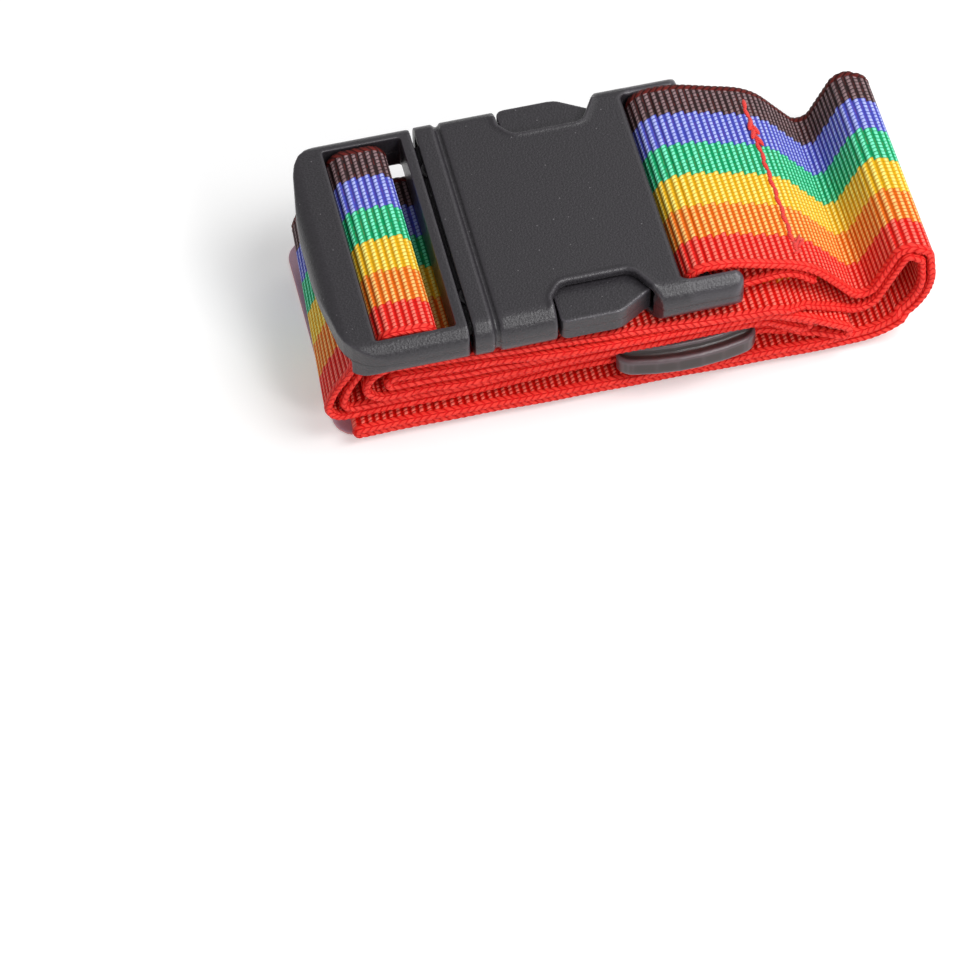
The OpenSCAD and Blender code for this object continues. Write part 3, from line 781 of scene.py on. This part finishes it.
# %% Vinyl of the tag
# Calendered vinyl on a cloth back: leather-like grain on the face, pale where it was cut.
VINYL_GRAIN = 0.9
VINYL_PORE = 0.4
vinyl, tree, shader = new_material("vinyl, calendered with a leather grain")
place = add(tree, "ShaderNodeTexCoord").outputs["Object"]
facing = add(tree, "ShaderNodeNewGeometry").outputs["Normal"]
up = add(tree, "ShaderNodeSeparateXYZ", {0: facing}).outputs["Z"]
cells = add(tree, "ShaderNodeTexVoronoi", {
    "Vector": place, "Scale": 1 / (VINYL_GRAIN * MM),
}, feature="SMOOTH_F1")
pores = add(tree, "ShaderNodeTexNoise", {
    "Vector": place, "Scale": 1 / (VINYL_PORE * MM), "Detail": 3.0,
})
tint = add(tree, "ShaderNodeMix", {
    0: cells.outputs["Distance"], 6: linear("#f4433b"), 7: linear("#e02a25"),
}, data_type="RGBA")
above = add(tree, "ShaderNodeMapRange", {"Value": up, "From Min": 0.55, "From Max": 0.75})
below = add(tree, "ShaderNodeMapRange", {"Value": up, "From Min": -0.55, "From Max": -0.75})
cloth = add(tree, "ShaderNodeMix", {
    0: pores.outputs["Fac"], 6: linear("#bd95a8"), 7: linear("#d6b0c2"),
}, data_type="RGBA")
cut = add(tree, "ShaderNodeMix", {
    0: above, 6: linear("#e39a9c"), 7: cloth.outputs[2],
}, data_type="RGBA")
skin = add(tree, "ShaderNodeMix", {
    0: below, 6: cut.outputs[2], 7: tint.outputs[2],
}, data_type="RGBA")
relief = add(tree, "ShaderNodeMath", {
    0: cells.outputs["Distance"], 1: 1.5, 2: pores.outputs["Fac"],
}, operation="MULTIPLY_ADD")
bump = add(tree, "ShaderNodeBump", {"Height": relief, "Distance": 0.08 * MM, "Strength": 0.7})
tree.links.new(skin.outputs[2], shader.inputs["Base Color"])
tree.links.new(bump.outputs["Normal"], shader.inputs["Normal"])
shader.inputs["Roughness"].default_value = 0.42
print("vinyl nodes:", len(tree.nodes))

# %% Film of the window
# Clear vinyl film: glossy, slightly wavy.
RIPPLE = 7.0
film, tree, shader = new_material("vinyl film, clear and glossy")
place = add(tree, "ShaderNodeTexCoord").outputs["Object"]
ripple = add(tree, "ShaderNodeTexNoise", {
    "Vector": place, "Scale": 1 / (RIPPLE * MM), "Detail": 1.0,
})
bump = add(tree, "ShaderNodeBump", {
    "Height": ripple.outputs["Fac"], "Distance": 0.15 * MM, "Strength": 0.4,
})
tree.links.new(bump.outputs["Normal"], shader.inputs["Normal"])
shader.inputs["Base Color"].default_value = linear("#f6fafc")
shader.inputs["Transmission Weight"].default_value = 1.0
shader.inputs["Roughness"].default_value = 0.06
shader.inputs["IOR"].default_value = 1.5
print("film nodes:", len(tree.nodes))

# %% Card in the pocket
# Uncoated card: matt white with faint fibres, and ruled lines to write on.
LINE_STEP = 6.0
LINE_SHIFT = 1.0
LINE_WEIGHT = 0.022  # half a line's width, in steps
LINE_REACH = 21  # from the card's middle to the end of a line
CARD_MIDDLE = -25.2
FIBRE = 0.6
card_stock, tree, shader = new_material("card, uncoated white with ruled lines")
place = add(tree, "ShaderNodeTexCoord").outputs["Object"]
parts = add(tree, "ShaderNodeSeparateXYZ", {0: place})
count = add(tree, "ShaderNodeMath", {
    0: parts.outputs["Y"], 1: 1 / (LINE_STEP * MM), 2: 0.5 - LINE_SHIFT / LINE_STEP,
}, operation="MULTIPLY_ADD")
wave = add(tree, "ShaderNodeMath", {0: count, 1: 0.5}, operation="PINGPONG")
on_line = add(tree, "ShaderNodeMath", {0: wave, 1: LINE_WEIGHT}, operation="LESS_THAN")
in_margin = add(tree, "ShaderNodeMath", {
    0: add(tree, "ShaderNodeMath", {0: parts.outputs["X"], 1: -CARD_MIDDLE * MM}, operation="ADD"),
}, operation="ABSOLUTE")
written = add(tree, "ShaderNodeMath", {0: in_margin, 1: LINE_REACH * MM}, operation="LESS_THAN")
ruled = add(tree, "ShaderNodeMath", {0: on_line, 1: written}, operation="MULTIPLY")
fibre = add(tree, "ShaderNodeTexNoise", {"Vector": place, "Scale": 1 / (FIBRE * MM), "Detail": 4.0})
pulp = add(tree, "ShaderNodeMix", {
    0: fibre.outputs["Fac"], 6: linear("#f1efe9"), 7: linear("#fbfaf6"),
}, data_type="RGBA")
printed = add(tree, "ShaderNodeMix", {
    0: ruled, 6: pulp.outputs[2], 7: linear("#4a4a50"),
}, data_type="RGBA")
bump = add(tree, "ShaderNodeBump", {
    "Height": fibre.outputs["Fac"], "Distance": 0.02 * MM, "Strength": 0.5,
})
tree.links.new(printed.outputs[2], shader.inputs["Base Color"])
tree.links.new(bump.outputs["Normal"], shader.inputs["Normal"])
shader.inputs["Roughness"].default_value = 0.8
for slot in bpy.data.objects["address_card"].material_slots:
    slot.material = card_stock
print("address_card in", card_stock.name)

# %% Tag panel
tag = moulded("tag_panel", "tag_sheet", vinyl, 0.32, 2)
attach(tag, "bundle")

# %% Film behind the window
FILM_THICK = 0.15
FILM_WAVE = 0.03
WAVE_X, WAVE_Y = 5.5, 7
low, high = (Vector(corner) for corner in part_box("tag_film"))
bm = bmesh.new()
spread = Matrix.Diagonal((high.x - low.x, high.y - low.y, 1, 1))
middle = Matrix.Translation((low + high) / 2)
bmesh.ops.create_grid(bm, x_segments=58, y_segments=36, size=0.5, matrix=middle @ spread)
for v in bm.verts:
    v.co.z += FILM_WAVE * MM * math.sin(v.co.x / (WAVE_X * MM)) * math.cos(v.co.y / (WAVE_Y * MM))
bmesh.ops.solidify(bm, geom=bm.faces, thickness=FILM_THICK * MM)
bmesh.ops.recalc_face_normals(bm, faces=bm.faces)
for face in bm.faces:
    face.smooth = True
film_mesh = bpy.data.meshes.new("window_film")
bm.to_mesh(film_mesh)
bm.free()
film_mesh.materials.append(film)
piece = bpy.data.objects.new("window_film", film_mesh)
bpy.context.scene.collection.objects.link(piece)
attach(piece, "bundle")
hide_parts("tag_film")
print("window_film", len(film_mesh.polygons), "faces")

# %% [markdown]
# ## The stitches
# A lockstitch shows as a row of short, plump lengths of thread that dip into the cloth at each end.
# A sphere drawn out into a grain of rice is enough for one, so a row is that shape copied along the
# seam, with a thread material that is twisted round it. The tag is sewn with orange thread on three
# sides, and the webbing with red.

# %% Sewing threads
# Spun polyester: two plies twisted together, matt, with a soft sheen. The hollows between the plies
# are painted darker as painted shade, and their ridges lighter as a painted highlight.
TWIST = 0.55
threads = {}
for colour, hollow, ridge in (("red", "#cf1712", "#f83e34"), ("orange", "#b52c10", "#fa8a44")):
    thread, tree, shader = new_material(f"polyester sewing thread, twisted, {colour}")
    place = add(tree, "ShaderNodeTexCoord").outputs["Object"]
    parts = add(tree, "ShaderNodeSeparateXYZ", {0: place})
    slant = add(tree, "ShaderNodeMath", {
        0: parts.outputs["X"], 1: parts.outputs["Y"],
    }, operation="ADD")
    turns = add(tree, "ShaderNodeMath", {0: slant, 1: 2 * math.pi / (TWIST * MM)}, operation="MULTIPLY")
    ply = add(tree, "ShaderNodeMath", {0: turns}, operation="SINE")
    # Darker in the hollows of the twist and lighter on its ridges: painted shade and painted highlight.
    shade = add(tree, "ShaderNodeMapRange", {"Value": ply, "From Min": -1.0})
    twisted = add(tree, "ShaderNodeMix", {
        0: shade, 6: linear(hollow), 7: linear(ridge),
    }, data_type="RGBA")
    bump = add(tree, "ShaderNodeBump", {"Height": ply, "Distance": 0.05 * MM, "Strength": 0.6})
    tree.links.new(twisted.outputs[2], shader.inputs["Base Color"])
    tree.links.new(bump.outputs["Normal"], shader.inputs["Normal"])
    shader.inputs["Roughness"].default_value = 0.6
    shader.inputs["Sheen Weight"].default_value = 0.2
    threads[colour] = thread
print("threads:", list(threads))

# %% Rows of stitches
def stitched(node, name, thread, stitches):
    """One piece of many stitches, each a place, a turn and a size in mm."""
    bm = bmesh.new()
    for middle, turn, size in stitches:
        drawn_out = Matrix.Diagonal((*(Vector(size) * MM), 1))
        matrix = Matrix.Translation(Vector(middle) * MM) @ turn @ drawn_out
        bmesh.ops.create_uvsphere(bm, u_segments=10, v_segments=6, radius=0.5, matrix=matrix)
    for face in bm.faces:
        face.smooth = True
    bmesh.ops.recalc_face_normals(bm, faces=bm.faces)
    mesh = bpy.data.meshes.new(name)
    bm.to_mesh(mesh)
    bm.free()
    mesh.materials.append(thread)
    piece = bpy.data.objects.new(name, mesh)
    bpy.context.scene.collection.objects.link(piece)
    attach(piece, "bundle")
    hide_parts(node)
    print(name, len(stitches), "stitches")


TAG_STEP = 3.0
TAG_STITCH = (2.7, 0.75, 0.4)
TAG_STITCH_TURN = 0.06
TAG_STITCH_HEIGHT = 0.22
TAG_LONG_SEAMS = (-18, 23)
TAG_END_SEAM = -57.7
lengthwise = Matrix.Rotation(TAG_STITCH_TURN, 4, "Z")
crosswise = Matrix.Rotation(math.pi / 2 + TAG_STITCH_TURN, 4, "Z")
tag_stitches = []
for y in TAG_LONG_SEAMS:
    for x in np.arange(-54.7, 10.6, TAG_STEP):
        tag_stitches.append(((x, y, TAG_STITCH_HEIGHT), lengthwise, TAG_STITCH))
for y in np.arange(-15, 21.5, TAG_STEP):
    tag_stitches.append(((TAG_END_SEAM, y, TAG_STITCH_HEIGHT), crosswise, TAG_STITCH))
stitched("tag_seam", "tag_stitches", threads["orange"], tag_stitches)

# %% [markdown]
# The seam that closes the loop on the socket goes through two layers of webbing. It ends in a few
# stitches on top of each other towards the back edge, and in loose ends of thread at the front.

# %% Slope behind the socket
SEAM_X = 35.2
slope = Vector(slope_bend[:2]) - Vector(slope_top[:2])
slope.normalize()
upwards = Vector((-slope.y, slope.x))
seam_start = Vector(slope_top[:2]) + slope * (SEAM_X - slope_top[0]) / slope.x
tilt = Matrix.Rotation(math.atan2(-slope.y, slope.x), 4, "Y")


def on_slope(along, y, lift, turn, size):
    """A stitch placed along the slope from the seam, across the strap and above mid-thickness."""
    x, z = seam_start + slope * along + upwards * lift
    return (x, y, z), tilt @ Matrix.Rotation(turn, 4, "Z"), size


print("slope of the seam:", round(math.degrees(math.atan2(slope.y, slope.x))), "degrees")

# %% Seam behind the socket
SEAM_STEP = 2.5
SEAM_FACES = (0.8, -3.72)  # on the upper layer and under the lower one
SEAM_STITCH = (3.1, 1.05, 0.7)
LOCK_STITCH = (3.2, 1.1, 0.8)
LOOSE_END = (0.75, 0.6)  # width and height
ACROSS = math.pi / 2
# Each stitch is shifted and turned a little to one side or the other, as a machine leaves them.
seam_stitches = []
for lift in SEAM_FACES:
    for k, y in enumerate(np.arange(-20, 22, SEAM_STEP)):
        turn = ACROSS + (0.16 if k % 2 else -0.1)
        seam_stitches.append(on_slope(0.12 * (-1) ** k, y, lift, turn, SEAM_STITCH))
for k, y in enumerate((9.4, 11.2, 12.6, 13.8)):
    side = (-1) ** k
    seam_stitches.append(on_slope(0.5 * side, y, 1.0, ACROSS + 0.35 * side, LOCK_STITCH))
for along, y, lift, turn, length in (
    (1.1, -18.6, 0.75, 1.05, 4.6),
    (1.9, -18.9, 0.55, 0.85, 3.6),
    (0.2, -21.6, 0.85, 0.5, 2.6),
):
    seam_stitches.append(on_slope(along, y, lift, turn, (length, *LOOSE_END)))
stitched("socket_seam", "socket_stitches", threads["red"], seam_stitches)
